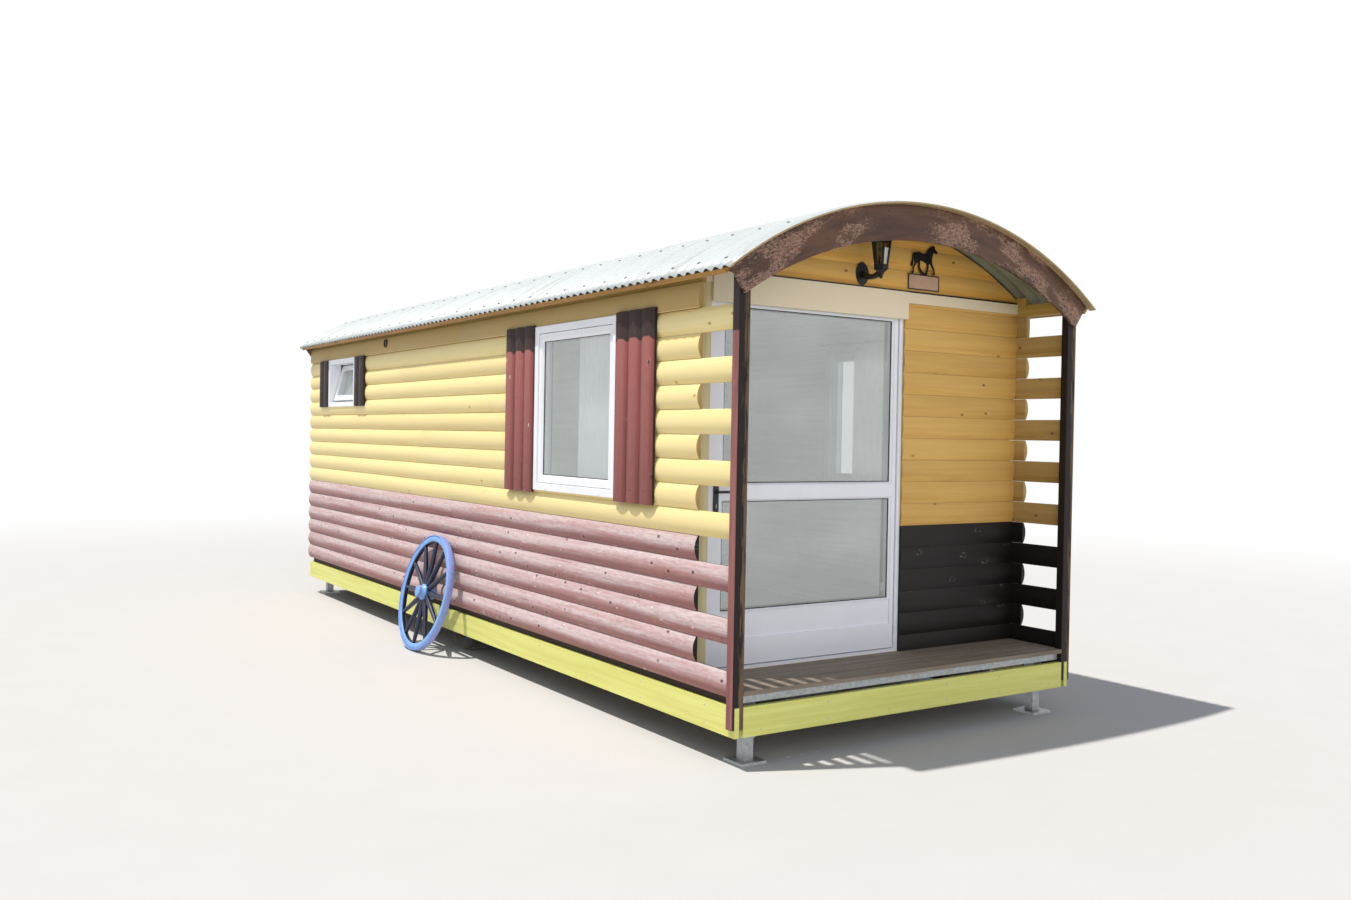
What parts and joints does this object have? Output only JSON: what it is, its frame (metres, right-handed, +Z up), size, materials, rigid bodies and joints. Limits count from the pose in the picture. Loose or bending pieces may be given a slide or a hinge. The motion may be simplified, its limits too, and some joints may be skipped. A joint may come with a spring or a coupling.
{
  "type": "living wagon",
  "caption": "Barrel-roofed living wagon on a towed chassis: half-log walls, open slatted porch, wide glazed door, shuttered windows and a leaning cart wheel.",
  "frame": {"origin": "on the ground under the middle of the whole wagon, drawbar and leaning cart wheel included", "axes": "+Z up, +Y towards the rear and the drawbar, the porch and the door face -Y, +X to the right seen from the porch side"},
  "size_m": [2.7944, 8.137, 2.833],
  "materials": {
    "log_yellow": "satin stain on half-round logs",
    "log_brown": "weathered stain on half-round logs",
    "sill_paint": "satin lime yellow paint",
    "dark_wood": "dark brown stain, worn",
    "fascia_paint": "peeling brown paint",
    "shutter_wood": "red brown stain",
    "floor_wood": "bare planks and plywood",
    "roof_sheet": "weathered coated corrugated sheet",
    "ceiling": "painted boards",
    "pvc": "white window plastic",
    "shutter_case": "cream roller shutter case",
    "glass": "clear double glazing",
    "curtain": "sheer white net",
    "steel": "hot dipped and painted chassis steel",
    "galvanised": "galvanised steel",
    "tyre": "black rubber",
    "wheel_steel": "silver painted wheel",
    "black_iron": "black painted iron",
    "wheel_blue": "blue paint on wood",
    "wheel_spoke": "dark blue paint on wood"
  },
  "bodies": {
    "wagon": {"axle": "steel", "cart_wheel_rim": "wheel_blue", "cart_wheel_spokes": "wheel_spoke", "chassis_rails": "steel", "curtain_rods": "black_iron", "curtains": "curtain", "door_frame": "pvc", "door_hinges": "pvc", "drawbar": "steel", "eave_beams": "log_yellow", "eave_rails": "log_yellow", "fascia_front": "fascia_paint", "fascia_rear": "fascia_paint", "floor_bearers": "galvanised", "floor_panel": "floor_wood", "gable_front": "log_yellow", "hopper_frame": "pvc", "lantern": "black_iron", "porch_planks": "floor_wood", "porch_posts": "dark_wood", "rim_joists": "dark_wood", "roof_core": "ceiling", "roof_sheets": "roof_sheet", "shutter_box": "shutter_case", "shutters_hopper": "dark_wood", "shutters_left": "shutter_wood", "shutters_right": "shutter_wood", "sill_front": "sill_paint", "sill_rear": "sill_paint", "sill_sides": "sill_paint", "steady_sleeves": "galvanised", "tow_eye": "steel", "wall_front_lower": "log_brown", "wall_front_upper": "log_yellow", "wall_left_lower": "log_brown", "wall_left_upper": "log_yellow", "wall_rear_lower": "log_brown", "wall_rear_upper": "log_yellow", "wall_right_lower": "log_brown", "wall_right_upper": "log_yellow", "wheel_boxes": "floor_wood", "window_frame_left": "pvc", "window_frame_right": "pvc", "window_glass": "glass"},
    "door": {"door_leaf": "pvc", "door_glass": "glass", "door_handle": "black_iron"},
    "hopper": {"hopper_sash": "pvc", "hopper_glass": "glass"},
    "wheel_left": {"tyre_left": "tyre", "rim_left": "wheel_steel"},
    "wheel_right": {"tyre_right": "tyre", "rim_right": "wheel_steel"},
    "leg_front_left": {"steady_front_left": "galvanised"},
    "leg_front_right": {"steady_front_right": "galvanised"},
    "leg_rear_left": {"steady_rear_left": "galvanised"},
    "leg_rear_right": {"steady_rear_right": "galvanised"}
  },
  "joints": [
    {"name": "door_hinge", "type": "hinge", "parent": "wagon", "child": "door", "pos_m": [0.2876, -3.5015, 0.398], "axis": [0, 0, -1], "range_deg": [0, 95]},
    {"name": "hopper_tilt", "type": "hinge", "parent": "wagon", "child": "hopper", "pos_m": [-1.0949, 1.991, 1.855], "axis": [0, 1, 0], "range_deg": [-14, 0]},
    {"name": "wheel_left_spin", "type": "hinge", "parent": "wagon", "child": "wheel_left", "pos_m": [-0.9554, -0.5205, 0.2625], "axis": [1, 0, 0], "continuous": true},
    {"name": "wheel_right_spin", "type": "hinge", "parent": "wagon", "child": "wheel_right", "pos_m": [1.0756, -0.5205, 0.2625], "axis": [1, 0, 0], "continuous": true},
    {"name": "leg_front_left_slide", "type": "slide", "parent": "wagon", "child": "leg_front_left", "axis": [0, 0, 1], "range_m": [0, 0.09]},
    {"name": "leg_front_right_slide", "type": "slide", "parent": "wagon", "child": "leg_front_right", "axis": [0, 0, 1], "range_m": [0, 0.09]},
    {"name": "leg_rear_left_slide", "type": "slide", "parent": "wagon", "child": "leg_rear_left", "axis": [0, 0, 1], "range_m": [0, 0.09]},
    {"name": "leg_rear_right_slide", "type": "slide", "parent": "wagon", "child": "leg_rear_right", "axis": [0, 0, 1], "range_m": [0, 0.09]}
  ]
}
